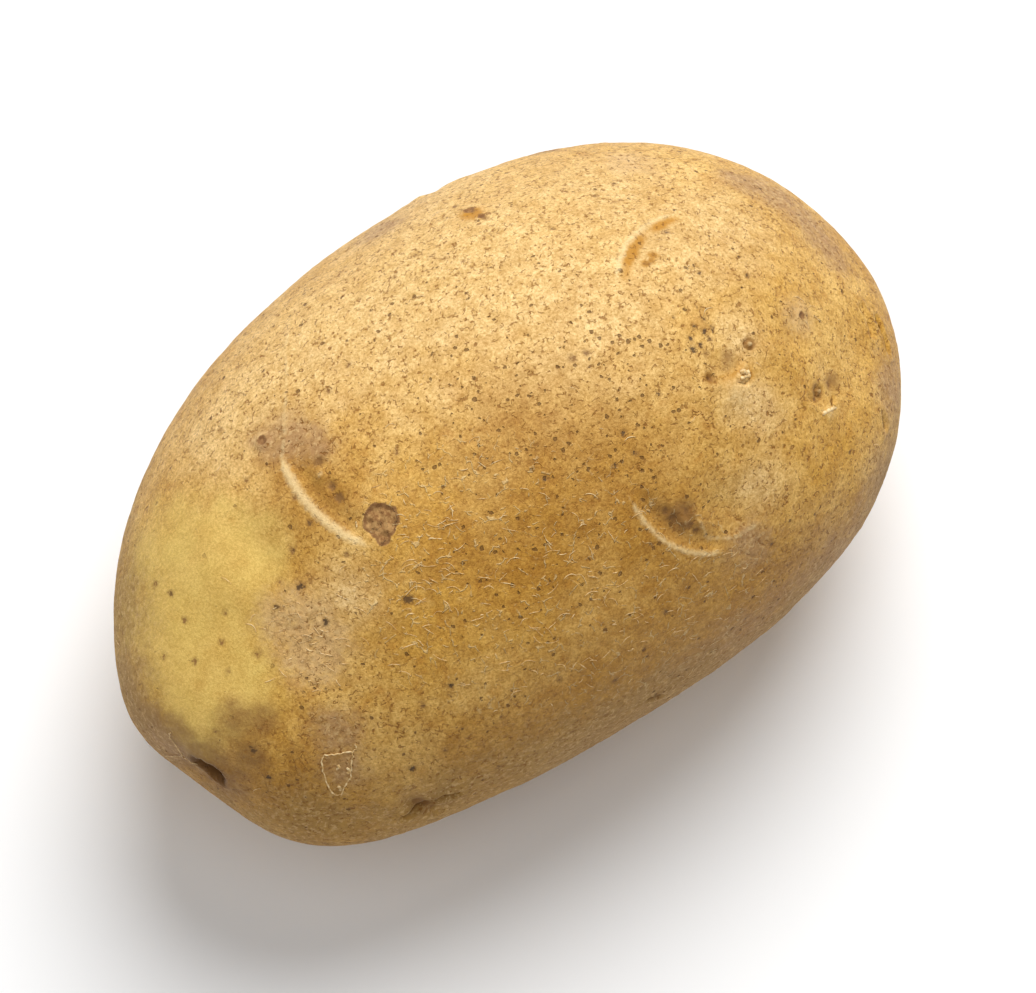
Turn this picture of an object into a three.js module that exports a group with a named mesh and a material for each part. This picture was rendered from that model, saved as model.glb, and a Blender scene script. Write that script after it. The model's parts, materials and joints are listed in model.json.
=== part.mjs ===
// A potato: one solid tuber lying on the small flat patch of its underside.
//
// Units are millimetres. +Z is up, and +X runs from the heel, where the stolon joined the plant,
// to the rose end, where the eyes crowd together. The origin is under the middle of the tuber,
// on the surface that it lies on.
//
// The body starts as a rounded ovoid. Broad swellings and hollows give it its own lopsided form,
// then each eye adds a hollow with a brow behind it, and the underside is pressed flat.
// A place on the skin is a direction from the middle of the body: lon turns from +X towards +Y,
// and lat rises from the horizontal towards +Z, both in degrees.

import * as THREE from 'three';
import { mergeVertices } from 'three/addons/utils/BufferGeometryUtils.js';

// Driving dimensions of the ovoid, before its swellings.
const body = {
	length: 98,
	breadth: 65,
	height: 56,
	fullness: 2.1, // 2 is a plain ellipsoid, and more fills out its shoulders
	bow: 1.2, // how far the two ends lie towards -Y from the middle
};

// The flat patch: how much of the underside is pressed away, and how softly its rim turns up.
const flat = { press: 1.5, rim: 0.7 };

// Triangles along each edge of the icosahedron that the surface is laid on, less one.
const surfaceDetail = 21;

// Broad forms: a swelling has a positive rise, a hollow a negative one. reach is in degrees.
const swellings = [
	{ name: 'heel tip', lon: 178, lat: 2, reach: 13, rise: 2.2 },
	{ name: 'heel hip', lon: - 143, lat: - 8, reach: 13, rise: 3.1 },
	{ name: 'heel cheek', lon: - 166, lat: 18, reach: 12, rise: 2.0 },
	{ name: 'heel saddle', lon: - 172, lat: 39, reach: 13, rise: - 2.0 },
	{ name: 'stolon hollow', lon: - 166, lat: 3, reach: 8, rise: - 1.5 },
	{ name: 'front waist', lon: - 100, lat: 2, reach: 22, rise: - 1.2 },
	{ name: 'front shoulder', lon: - 48, lat: 0, reach: 22, rise: 2.4 },
	{ name: 'front slope', lon: - 144, lat: 39, reach: 12, rise: - 1.2 },
	{ name: 'crown', lon: - 15, lat: 76, reach: 21, rise: 3.2 },
	{ name: 'rose end', lon: - 6, lat: 0, reach: 13, rise: 0.8 },
	{ name: 'rose hollow', lon: - 31, lat: 29, reach: 10, rise: - 1.4 },
	{ name: 'rose slope', lon: - 4, lat: 26, reach: 10, rise: - 0.9 },
	{ name: 'back shoulder', lon: 50, lat: 4, reach: 24, rise: 1.4 },
	{ name: 'back dip', lon: 33, lat: 44, reach: 10, rise: - 0.6 },
	{ name: 'back knoll', lon: 124, lat: 40, reach: 12, rise: 0.7 },
	{ name: 'lower belly', lon: 60, lat: - 55, reach: 24, rise: 0.8 },
];

// Eyes. across is the width of the brow, depth is how far the buds' hollow sinks and brow how far
// the ridge behind it stands up. turn is the angle from the way to the rose end to the way that
// the eye opens, counter-clockwise as seen from outside.
const eyes = [
	{ name: 'heel top eye', lon: 170, lat: 50, across: 15, depth: 1.0, brow: 0.5, turn: 9 },
	{ name: 'front top eye', lon: - 68, lat: 42, across: 12, depth: 1.0, brow: 0.4, turn: 18 },
	{ name: 'back top eye', lon: 10, lat: 48, across: 11, depth: 0.5, brow: 0.3, turn: - 75 },
	{ name: 'rose top eye', lon: - 27, lat: 44, across: 9, depth: 0.9, brow: 0.6, turn: 37 },
	{ name: 'rose front eye', lon: - 30, lat: 24, across: 7, depth: 0.9, brow: 0.4, turn: 44 },
	{ name: 'heel front eye', lon: - 138, lat: 3, across: 9, depth: 1.3, brow: 0.4, turn: 29 },
	{ name: 'rose tip eye', lon: 16, lat: - 14, across: 8, depth: 0.8, brow: 0.4, turn: 20 },
	{ name: 'back side eye', lon: 66, lat: 9, across: 13, depth: 0.9, brow: 0.5, turn: - 10 },
	{ name: 'back heel eye', lon: 132, lat: - 12, across: 12, depth: 0.8, brow: 0.4, turn: 5 },
	{ name: 'front low eye', lon: - 66, lat: - 30, across: 12, depth: 0.9, brow: 0.5, turn: 10 },
	{ name: 'rose low eye', lon: 26, lat: - 44, across: 10, depth: 0.8, brow: 0.4, turn: - 15 },
	{ name: 'heel low eye', lon: - 156, lat: - 42, across: 11, depth: 0.6, brow: 0.3, turn: 0 },
];

// Proportions that all the eyes share, in half widths of the brow.
const eyeShape = {
	hollow: { halfWidth: 0.62, halfLength: 0.4 },
	brow: { behind: 0.62, curl: 0.42, thickness: 0.22 },
};

// The round pit where the stolon broke away.
const stolonScar = { lon: - 168, lat: 5, across: 6, depth: 1.3 };

const radians = THREE.MathUtils.degToRad;
const roseWay = new THREE.Vector3( 1, 0, 0 );

function directionOf( { lon, lat } ) {

	const level = Math.cos( radians( lat ) );
	return new THREE.Vector3(
		level * Math.cos( radians( lon ) ),
		level * Math.sin( radians( lon ) ),
		Math.sin( radians( lat ) ),
	);

}

// A bell: 1 where x is 0, and nearly 0 past twice the width.
function bell( x, width ) {

	return Math.exp( - ( ( x / width ) ** 2 ) );

}

function ovoid( direction ) {

	const p = body.fullness;
	const norm = direction.toArray().reduce( ( sum, c ) => sum + Math.abs( c ) ** p, 0 ) ** ( 1 / p );
	const point = direction.clone().divideScalar( norm );
	point.multiply( new THREE.Vector3( body.length / 2, body.breadth / 2, body.height / 2 ) );
	point.y -= body.bow * direction.x ** 2;
	return point;

}

const swellingCentres = swellings.map( directionOf );

function bodyPoint( direction ) {

	const point = ovoid( direction );
	swellings.forEach( ( { reach, rise }, i ) => {

		const away = THREE.MathUtils.radToDeg( direction.angleTo( swellingCentres[ i ] ) );
		point.addScaledVector( direction, rise * bell( away, reach * Math.SQRT2 ) );

	} );
	return point;

}

// An eye is a hollow for the buds, with a curved brow behind it. This gives its rise at a point.
function eyeForm( eye ) {

	const up = directionOf( eye );
	const centre = bodyPoint( up );
	const ahead = roseWay.clone().projectOnPlane( up ).normalize().applyAxisAngle( up, radians( eye.turn ) );
	const aside = up.clone().cross( ahead );
	const half = eye.across / 2;
	const { hollow, brow } = eyeShape;
	return ( point ) => {

		const offset = point.clone().sub( centre );
		if ( offset.dot( up ) < - eye.across ) return 0;
		const s = offset.dot( aside ) / half;
		const t = offset.dot( ahead ) / half;
		const browLine = - brow.behind + brow.curl * s ** 2;
		const sunk = bell( s, hollow.halfWidth ) * bell( t, hollow.halfLength );
		const raised = bell( t - browLine, brow.thickness ) * bell( s ** 2, 1 );
		return eye.brow * raised - eye.depth * sunk;

	};

}

function scarForm( scar ) {

	const centre = bodyPoint( directionOf( scar ) );
	return ( point ) => - scar.depth * bell( point.distanceTo( centre ), scar.across / 2 );

}

// Lifts a point onto the flat patch, with a soft turn at its rim.
function pressFlat( point ) {

	const floor = - body.height / 2 + flat.press;
	const above = point.z - floor;
	if ( above < - flat.rim ) point.z = floor;
	else if ( above < flat.rim ) point.z = floor + ( above + flat.rim ) ** 2 / ( 4 * flat.rim );

}

function makeTuber() {

	const ball = new THREE.IcosahedronGeometry( 1, surfaceDetail );
	ball.deleteAttribute( 'normal' );
	ball.deleteAttribute( 'uv' );
	const geometry = mergeVertices( ball, 1e-5 );

	const details = [ ...eyes.map( eyeForm ), scarForm( stolonScar ) ];
	const position = geometry.attributes.position;
	const direction = new THREE.Vector3();
	for ( let i = 0; i < position.count; i ++ ) {

		direction.fromBufferAttribute( position, i ).normalize();
		const point = bodyPoint( direction );
		const rise = details.reduce( ( sum, form ) => sum + form( point ), 0 );
		point.addScaledVector( direction, rise );
		pressFlat( point );
		position.setXYZ( i, ...point );

	}

	// The origin goes under the middle of the outline in plan, level with the flat patch.
	geometry.computeBoundingBox();
	const { min, max } = geometry.boundingBox;
	geometry.translate( - ( min.x + max.x ) / 2, - ( min.y + max.y ) / 2, - min.z );
	geometry.computeVertexNormals();
	return geometry;

}

const skin = new THREE.MeshStandardMaterial( { color: 0xd9ab62, roughness: 0.62, metalness: 0 } );

const potato = new THREE.Mesh( makeTuber(), skin );
potato.name = 'potato';

const group = new THREE.Group();
group.add( potato );

export default group;
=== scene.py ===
import json
import math
import bmesh
import bpy
import numpy as np
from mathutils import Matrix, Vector
from mathutils.bvhtree import BVHTree

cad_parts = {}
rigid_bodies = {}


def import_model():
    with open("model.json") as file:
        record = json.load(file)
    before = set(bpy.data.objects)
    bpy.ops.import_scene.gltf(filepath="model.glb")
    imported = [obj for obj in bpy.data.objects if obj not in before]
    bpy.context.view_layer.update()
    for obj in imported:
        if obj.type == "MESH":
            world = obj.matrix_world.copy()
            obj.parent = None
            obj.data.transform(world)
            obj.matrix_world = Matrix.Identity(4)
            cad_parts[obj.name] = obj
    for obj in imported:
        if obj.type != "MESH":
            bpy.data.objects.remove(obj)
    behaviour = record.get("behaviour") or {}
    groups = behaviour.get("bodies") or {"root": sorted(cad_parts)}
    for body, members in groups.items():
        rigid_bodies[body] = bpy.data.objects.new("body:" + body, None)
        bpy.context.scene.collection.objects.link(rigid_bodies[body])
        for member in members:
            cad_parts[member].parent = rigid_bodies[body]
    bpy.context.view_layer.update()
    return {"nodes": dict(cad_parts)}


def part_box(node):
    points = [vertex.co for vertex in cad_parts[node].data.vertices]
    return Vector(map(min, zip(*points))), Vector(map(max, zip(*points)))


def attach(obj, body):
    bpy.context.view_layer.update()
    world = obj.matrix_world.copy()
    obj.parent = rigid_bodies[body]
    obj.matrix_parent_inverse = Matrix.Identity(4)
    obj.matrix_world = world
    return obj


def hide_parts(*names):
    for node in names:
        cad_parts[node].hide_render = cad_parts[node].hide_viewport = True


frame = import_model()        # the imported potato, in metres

mm = 0.001
low, high = (Vector(corner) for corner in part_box("potato"))
middle = (low + high) / 2
scene = bpy.context.scene
rng = np.random.default_rng(7)

# Places on the skin are (lon, lat) in degrees, seen from the middle of the potato: lon turns from +X,
# the rose end, towards +Y, and lat rises towards +Z. Sizes on the skin are in millimetres.

view = {
    "height": 70,
    "turn": -36.4,
    "distance": 0.6,
    "lens": 181.1,
    "aim": (0.0008, -0.0035, 0.0277),
}


def lookFrom(height, turn):
    # the unit vector from the potato back towards a viewer or a light
    h, t = math.radians(height), math.radians(turn)
    return Vector((math.sin(t) * math.cos(h), -math.cos(t) * math.cos(h), math.sin(h)))


def makeCamera():
    camera = bpy.data.objects.new("camera", bpy.data.cameras.new("camera"))
    scene.collection.objects.link(camera)
    camera.data.lens = view["lens"]
    camera.data.clip_start = 0.01
    back = lookFrom(view["height"], view["turn"])
    camera.location = Vector(view["aim"]) + back * view["distance"]
    camera.rotation_euler = (-back).to_track_quat("-Z", "Y").to_euler()
    scene.camera = camera


lights = [
    {"name": "key", "height": 57, "turn": 128, "distance": 0.9, "size": 0.7, "watts": 9.4},
    {"name": "front fill", "height": 66, "turn": -30, "distance": 0.9, "size": 0.8, "watts": 2.4},
    {"name": "side fill", "height": 32, "turn": 222, "distance": 0.9, "size": 0.7, "watts": 1.1},
]
studio = {"strength": 0.155, "floorTone": 0.9}


def makeLight(name, height, turn, distance, size, watts):
    lamp = bpy.data.lights.new(name, "AREA")
    lamp.shape = "DISK"
    lamp.size, lamp.energy = size, watts
    away = lookFrom(height, turn)
    holder = bpy.data.objects.new(name, lamp)
    scene.collection.objects.link(holder)
    holder.location = middle + away * distance
    holder.rotation_euler = (-away).to_track_quat("-Z", "Y").to_euler()


def makeFloor():
    bpy.ops.mesh.primitive_plane_add(size=4, location=(0, 0, -0.0003))
    floor = bpy.context.object
    floor.name = "floor"
    paper = bpy.data.materials.new("pale floor")
    paper.use_nodes = True
    coat = paper.node_tree.nodes["Principled BSDF"]
    coat.inputs["Base Color"].default_value = (*[studio["floorTone"]] * 3, 1)
    coat.inputs["Roughness"].default_value = 0.9
    coat.inputs["Specular IOR Level"].default_value = 0.1
    floor.data.materials.append(paper)


makeCamera()
for lamp in lights:
    makeLight(**lamp)
makeFloor()
world = bpy.data.worlds.new("studio")
scene.world = world
world.use_nodes = True
world.node_tree.nodes["Background"].inputs["Color"].default_value = (1, 1, 1, 1)
world.node_tree.nodes["Background"].inputs["Strength"].default_value = studio["strength"]
scene.view_settings.view_transform = "Standard"
print("stage ready")

# The body is a ball of even quads laid onto the CAD solid and subdivided.
bodyMesh = {
    "squares": 26,
    "rounds": 3,
    "mapMargin": 0.006,
}
mapCells = {        # (axis, side): (column, row)
    (2, 1): (0, 2), (2, -1): (1, 2),
    (1, 1): (0, 1), (1, -1): (1, 1),
    (0, 1): (0, 0), (0, -1): (1, 0),
}


def makeBall():
    # a cube cut into squares, with a map that gives each side its own cell
    ball = bmesh.new()
    bmesh.ops.create_cube(ball, size=2)
    bmesh.ops.subdivide_edges(ball, edges=ball.edges[:], cuts=bodyMesh["squares"] - 1, use_grid_fill=True)
    layer = ball.loops.layers.uv.new("OFBake")
    inset = bodyMesh["mapMargin"]
    for face in ball.faces:
        axis = max(range(3), key=lambda k: abs(face.normal[k]))
        column, row = mapCells[(axis, 1 if face.normal[axis] > 0 else -1)]
        across, up = [k for k in range(3) if k != axis]
        for loop in face.loops:
            u, v = ((loop.vert.co[k] + 1) / 2 * (1 - 2 * inset) + inset for k in (across, up))
            loop[layer].uv = ((column + u) / 2, (row + v) / 3)
    return ball


def treeOf(piece):
    return BVHTree.FromObject(piece, bpy.context.evaluated_depsgraph_get())


def layOnSolid(ball):
    solid = treeOf(frame["nodes"]["potato"])
    for vert in ball.verts:
        # equal angles, so that the squares stay about one size
        way = Vector(math.tan(c * math.pi / 4) for c in vert.co).normalized()
        vert.co = solid.ray_cast(middle, way)[0]


def makeBody():
    ball = makeBall()
    layOnSolid(ball)
    rough = bpy.data.meshes.new("potato_skin")
    ball.to_mesh(rough)
    ball.free()
    potato = bpy.data.objects.new("potato_skin", rough)
    scene.collection.objects.link(potato)
    rounds = potato.modifiers.new("rounds", "SUBSURF")
    rounds.levels = rounds.render_levels = bodyMesh["rounds"]
    rounds.uv_smooth = "NONE"
    fine = bpy.data.meshes.new_from_object(potato.evaluated_get(bpy.context.evaluated_depsgraph_get()))
    potato.modifiers.clear()
    potato.data = fine
    bpy.data.meshes.remove(rough)
    fine.name = "potato_skin"
    fine.shade_smooth()
    return potato


potato = makeBody()
skin = potato.data
smoothBody = treeOf(potato)
count = len(skin.vertices)
points = np.empty(count * 3, dtype=np.float32)
skin.vertices.foreach_get("co", points)
points = points.reshape(-1, 3).astype(float) / mm        # millimetres from here on
normals = np.empty(count * 3, dtype=np.float32)
skin.vertex_normals.foreach_get("vector", normals)
normals = normals.reshape(-1, 3).astype(float)
print("body:", count, "points")


def bell(x, width):
    return np.exp(-(x / width) ** 2)


def ramp(x, start, end):
    # 0 at start and 1 at end, eased at both
    t = np.clip((x - start) / (end - start), 0, 1)
    return t * t * (3 - 2 * t)


def spotOn(lon, lat):
    # the point and outward normal of the smooth body at a place, in millimetres
    lon, lat = math.radians(lon), math.radians(lat)
    way = Vector((math.cos(lat) * math.cos(lon), math.cos(lat) * math.sin(lon), math.sin(lat)))
    hit, normal = smoothBody.ray_cast(middle, way)[:2]
    return np.array(hit) / mm, np.array(normal)


def localFrame(lon, lat, turn):
    # ahead is the way to the rose end, turned counter-clockwise as seen from outside
    centre, up = spotOn(lon, lat)
    rose = np.array([1.0, 0, 0]) - up * up[0]
    rose /= np.linalg.norm(rose)
    t = math.radians(turn)
    ahead = rose * math.cos(t) + np.cross(up, rose) * math.sin(t)
    return centre, up, ahead, np.cross(up, ahead)


def waves(size, seed):
    # smooth noise of about -1 to 1 over the skin, with lumps of the given size
    cells = 32
    slopes = np.random.default_rng(seed).normal(size=(cells, cells, cells, 3))
    slopes /= np.linalg.norm(slopes, axis=-1, keepdims=True)
    at = points / size
    base = np.floor(at).astype(int)
    part = at - base
    ease = part ** 3 * (part * (part * 6 - 15) + 10)
    total = np.zeros(count)
    for corner in np.ndindex(2, 2, 2):
        cell = (base + corner) % cells
        slope = slopes[cell[:, 0], cell[:, 1], cell[:, 2]]
        weight = np.prod(np.where(corner, ease, 1 - ease), axis=1)
        total += weight * ((part - corner) * slope).sum(axis=1)
    return total * 1.6


# What the mesh tells the skin's material: gaps past the edges of marks, and shares of stains, of painted
# shade and of a painted highlight.
far = 9.0        # a gap where there is no mark
fields = {name: np.full(count, far) for name in ("lipGap", "spotGap", "scabGap", "crackGap")}
for name in (
    "spotDark", "hollow", "creamyAndHighlight", "deep", "olive", "mauve", "dust",
    "beige", "brownAndShade", "rustAndShade", "pits", "net", "dashes",
):
    fields[name] = np.zeros(count)
rise = np.zeros(count)        # how far each point moves outwards

warpA, warpB, warpC = waves(2.2, 21), waves(2.2, 22), waves(0.9, 23)


def stainAndShade(name, share):
    # deepens a stain, painted shade and painted highlight alike, where share is more than what is there
    fields[name] = np.maximum(fields[name], share)


def mark(name, gap):
    # adds a mark, where gap is less than the distance to those already there
    fields[name] = np.minimum(fields[name], gap)


spotEdge = {"ragged": 0.45, "wander": 0.10, "core": 0.72}


def addSpot(centre, radius, dark, depth=0.07):
    # a small brown or black mark in a shallow pit, with an uneven edge
    near = np.linalg.norm(points - centre, axis=1)
    near = near * (1 + spotEdge["ragged"] * warpC) + spotEdge["wander"] * warpA
    gap = near - spotEdge["core"] * radius
    nearer = gap < fields["spotGap"]
    fields["spotDark"][nearer] = dark
    fields["spotGap"][nearer] = gap[nearer]
    rise[:] -= depth * bell(near, radius)


# Each eye: half is half the width of its brow, shift how far the brow lies to one side, behind how far
# it stands behind the buds, curl how far its ends come forward, lip the height and pale the brightness
# of its edge, sink the depth and rust the brown stain and painted shade of the trough. A bud is (aside,
# ahead, radius, kind).
eyes = {
    "heel top eye": {
        "lon": 171.7, "lat": 48.2, "turn": 5, "half": 7.2, "shift": -1.0, "behind": 2.9, "curl": 1.5,
        "lip": 0.17, "pale": 1.0, "sink": 0.28, "rustAndShade": 0.25,
        "buds": [
            (2.6, 1.4, 0.65, "dark"), (1.3, 0.4, 0.6, "pale"), (-0.7, 0.5, 0.5, "dark"),
            (-2.2, 0.1, 0.7, "dark"),
        ],
    },
    "front top eye": {
        "lon": -67.5, "lat": 38.4, "turn": 28, "half": 7.3, "shift": 0, "behind": 2.9, "curl": 2.3,
        "lip": 0.17, "pale": 0.6, "sink": 0.5, "rustAndShade": 0.5,
        "buds": [
            (2.3, 0.0, 0.5, "dark"), (1.0, -0.2, 0.5, "dark"), (-0.4, 0.1, 0.4, "pale"),
            (-1.3, 0.1, 0.55, "dark"), (-2.4, -0.1, 0.5, "dark"), (0.1, 1.2, 0.6, "dark"),
            (-2.0, 0.8, 0.35, "pale"),
        ],
    },
    "back top eye": {
        "lon": 9.0, "lat": 44.8, "turn": -65, "half": 7.2, "shift": 0.7, "behind": 2.6, "curl": 1.9,
        "lip": 0.06, "pale": 0.6, "sink": 0.16, "rustAndShade": 2.0,
        "buds": [
            (-2.1, 0.6, 0.5, "rustAndShade"), (-1.3, 0.9, 0.35, "rustAndShade"), (-0.4, 0.7, 0.5, "rustAndShade"),
            (4.1, 0.1, 0.35, "mauve"),
        ],
    },
    "rose top eye": {
        "lon": -27.6, "lat": 41.4, "turn": 71, "half": 4.2, "shift": 0.6, "behind": 1.9, "curl": 1.6,
        "lip": 0.1, "pale": 0.0, "sink": 0.1, "rustAndShade": 0.8,
        "buds": [
            (-3.9, 2.0, 0.5, "ring"), (2.8, -0.5, 0.55, "rustAndShade"), (-1.9, -0.6, 0.5, "pale"),
            (-2.7, -1.2, 0.5, "rustAndShade"), (-1.1, -1.0, 0.35, "pale"), (-2.4, -0.2, 0.3, "pale"),
        ],
    },
    "rose front eye": {
        "lon": -29.9, "lat": 20.6, "turn": 56, "half": 3.4, "shift": 0, "behind": 1.7, "curl": 1.2,
        "lip": 0.12, "pale": 0.0, "sink": 0.14, "rustAndShade": 0.7,
        "buds": [
            (0.5, 0.6, 0.5, "ring"), (-1.7, 1.4, 0.5, "dark"), (1.2, -0.3, 0.35, "dark"),
            (-0.3, -2.2, 0.5, "pale"),
        ],
    },
    "heel front eye": {
        "lon": -138.0, "lat": -0.5, "turn": 29, "half": 4.5, "shift": 0, "behind": 1.6, "curl": 1.0,
        "lip": 0.2, "pale": 0.0, "sink": 0.5, "rustAndShade": 0.4,
        "buds": [(0.8, 0.4, 0.9, "dark"), (-0.9, 0.3, 0.7, "dark"), (-2.2, 0.1, 0.5, "dark")],
    },
    "rose tip eye": {
        "lon": 16, "lat": -16, "turn": 20, "half": 4.0, "shift": 0, "behind": 2.0, "curl": 1.6,
        "lip": 0.3, "pale": 0.5, "sink": 0.5, "rustAndShade": 0.5,
        "buds": [(1.3, 0.3, 0.6, "dark"), (-0.9, 0.2, 0.7, "ring")],
    },
    "back side eye": {
        "lon": 66, "lat": 5, "turn": -10, "half": 6.5, "shift": 0.4, "behind": 2.7, "curl": 1.9,
        "lip": 0.34, "pale": 0.8, "sink": 0.5, "rustAndShade": 0.4,
        "buds": [(1.9, 0.6, 0.6, "dark"), (0.3, 0.2, 0.6, "pale"), (-1.6, 0.3, 0.6, "dark")],
    },
    "back heel eye": {
        "lon": 132, "lat": -15, "turn": 5, "half": 6.0, "shift": 0, "behind": 2.5, "curl": 1.6,
        "lip": 0.3, "pale": 0.7, "sink": 0.45, "rustAndShade": 0.4,
        "buds": [(1.6, 0.5, 0.6, "dark"), (-0.4, 0.1, 0.5, "ring"), (-2.1, 0.4, 0.5, "dark")],
    },
    "front low eye": {
        "lon": -66, "lat": -33, "turn": 10, "half": 6.0, "shift": 0, "behind": 2.5, "curl": 1.8,
        "lip": 0.34, "pale": 0.7, "sink": 0.5, "rustAndShade": 0.4,
        "buds": [(2.0, 0.3, 0.6, "dark"), (0.2, 0.5, 0.6, "ring"), (-1.7, 0.1, 0.6, "dark")],
    },
    "rose low eye": {
        "lon": 26, "lat": -46, "turn": -15, "half": 5.0, "shift": 0, "behind": 2.1, "curl": 1.5,
        "lip": 0.28, "pale": 0.6, "sink": 0.45, "rustAndShade": 0.5,
        "buds": [(1.3, 0.4, 0.6, "dark"), (-0.9, 0.2, 0.6, "ring")],
    },
    "heel low eye": {
        "lon": -156, "lat": -45, "turn": 0, "half": 5.0, "shift": 0, "behind": 2.1, "curl": 1.4,
        "lip": 0.24, "pale": 0.6, "sink": 0.35, "rustAndShade": 0.3,
        "buds": [(1.2, 0.3, 0.5, "dark"), (-0.8, 0.1, 0.5, "pale")],
    },
}


# Buds that are a stained spot: the stain as (field, size, strength), the spot as (size, darkness, depth);
# the rust stain is partly painted shade.
# The other kinds are a dome in a groove painted dark as painted shade, and a plain pale knob. Sizes here
# are in radii of the bud.
budKinds = {
    "dark": {"stainAndShade": ("rustAndShade", 1.2, 0.6), "spot": (1.1, 0.45, 0.26)},
    "rustAndShade": {"stainAndShade": ("rustAndShade", 1.3, 1.0), "spot": (0.4, 0.25, 0.2)},
    "mauve": {"stainAndShade": ("mauve", 1.0, 1.0), "spot": (0.6, 0.8, 0.1)},
}
ringBud = {
    "domeHeight": 0.40, "dome": 0.55,
    "grooveDepth": 0.42, "grooveAt": 1.15, "groove": 0.4,
    "darkAt": 1.1, "dark": 0.45, "around": 2.2, "rustAndShade": 1.8, "pale": 0.5,
}
paleBud = {"height": 0.22, "ragged": 0.8, "pale": 0.8}


def addRingBud(near, radius):
    ring = ringBud
    dome = ring["domeHeight"] * bell(near, radius * ring["dome"])
    groove = ring["grooveDepth"] * bell(near - radius * ring["grooveAt"], radius * ring["groove"])
    rise[:] += dome - groove
    # painted shade: a dark brown ring in the groove round the dome, and a fainter brown around it
    dark = bell(near - radius * ring["darkAt"], radius * ring["dark"])
    stainAndShade("brownAndShade", 1.5 * np.maximum(dark, 0.6 * bell(near, radius * ring["around"])))
    stainAndShade("rustAndShade", 0.7 * bell(near, radius * ring["rustAndShade"]))
    mark("lipGap", near / (radius * ring["pale"]) + 0.4)


def addBud(centre, radius, kind):
    near = np.linalg.norm(points - centre, axis=1) * (1 + 0.25 * warpC)
    if kind in budKinds:
        field, size, strength = budKinds[kind]["stainAndShade"]
        stainAndShade(field, strength * bell(near, radius * size))
        size, dark, depth = budKinds[kind]["spot"]
        addSpot(centre, radius * size, dark, depth)
    elif kind == "ring":
        addRingBud(near, radius)
    else:
        rise[:] += paleBud["height"] * bell(near, radius) * (1 + paleBud["ragged"] * warpC)
        mark("lipGap", near / (radius * paleBud["pale"]) + 0.9)


# What the brows share: how far up and down an eye reaches, how far its edge wanders, where the trough
# and the lip fade out in half widths, then the places and widths of the forms and of the trough's painted
# shade.
brow = {
    "reach": 8,
    "wander": 0.10,
    "troughEnds": (1.15, 0.45),
    "lipEnds": (1.25, 0.75),
    "edge": 0.55,
    "shoulder": 0.5, "shoulderBehind": 1.3, "shoulderWide": 1.6,
    "troughAhead": 1.5, "troughWide": 1.2,
    "paleWide": 0.42,
    "mouthAhead": 2.0, "mouthWide": 2.0, "mouthShare": 0.75,
    "rustShadeAhead": 1.0, "rustShadeWide": 0.7,
}


def addEye(lon, lat, turn, half, shift, behind, curl, lip, pale, sink, rustAndShade, buds):
    centre, up, ahead, aside = localFrame(lon, lat, turn)
    offset = points - centre
    s, t = offset @ aside, offset @ ahead
    here = (np.abs(offset @ up) < brow["reach"]) & (normals @ up > 0.2)
    along = (s - shift) / half
    gap = t + behind - curl * along ** 2 + brow["wander"] * warpA        # ahead of the brow's edge
    inside = np.where(here, ramp(np.abs(along), *brow["troughEnds"]), 0)
    fade = np.where(here, ramp(np.abs(along), *brow["lipEnds"]), 0)
    edge = lip * bell(gap, brow["edge"]) * (0.75 + 0.25 * warpB)
    shoulder = brow["shoulder"] * lip * bell(gap + brow["shoulderBehind"], brow["shoulderWide"])
    trough = sink * bell(gap - brow["troughAhead"], brow["troughWide"])
    rise[:] += fade * edge + inside * (shoulder - trough)
    mark("lipGap", np.abs(gap) / brow["paleWide"] + 2.2 * (1 - fade) + 1.6 * (1 - pale))
    # painted shade: the mouth of the trough is darkened towards umber
    mouth = inside * bell(gap - brow["mouthAhead"], brow["mouthWide"])
    mouth = mouth * bell(s - shift, half * brow["mouthShare"])
    stainAndShade("hollow", mouth * min(1, sink * 2))
    # the brown of the trough is partly painted shade
    rustyShade = rustAndShade * inside * bell(gap - brow["rustShadeAhead"], brow["rustShadeWide"])
    stainAndShade("rustAndShade", rustyShade * (0.6 + 0.5 * warpA))
    for budAside, budAhead, radius, kind in buds:
        spot = Vector((centre + aside * budAside + ahead * budAhead) * mm)
        addBud(np.array(smoothBody.find_nearest(spot)[0]) / mm, radius, kind)


for eye in eyes.values():
    addEye(**eye)
print("eyes:", ", ".join(eyes))

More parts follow.
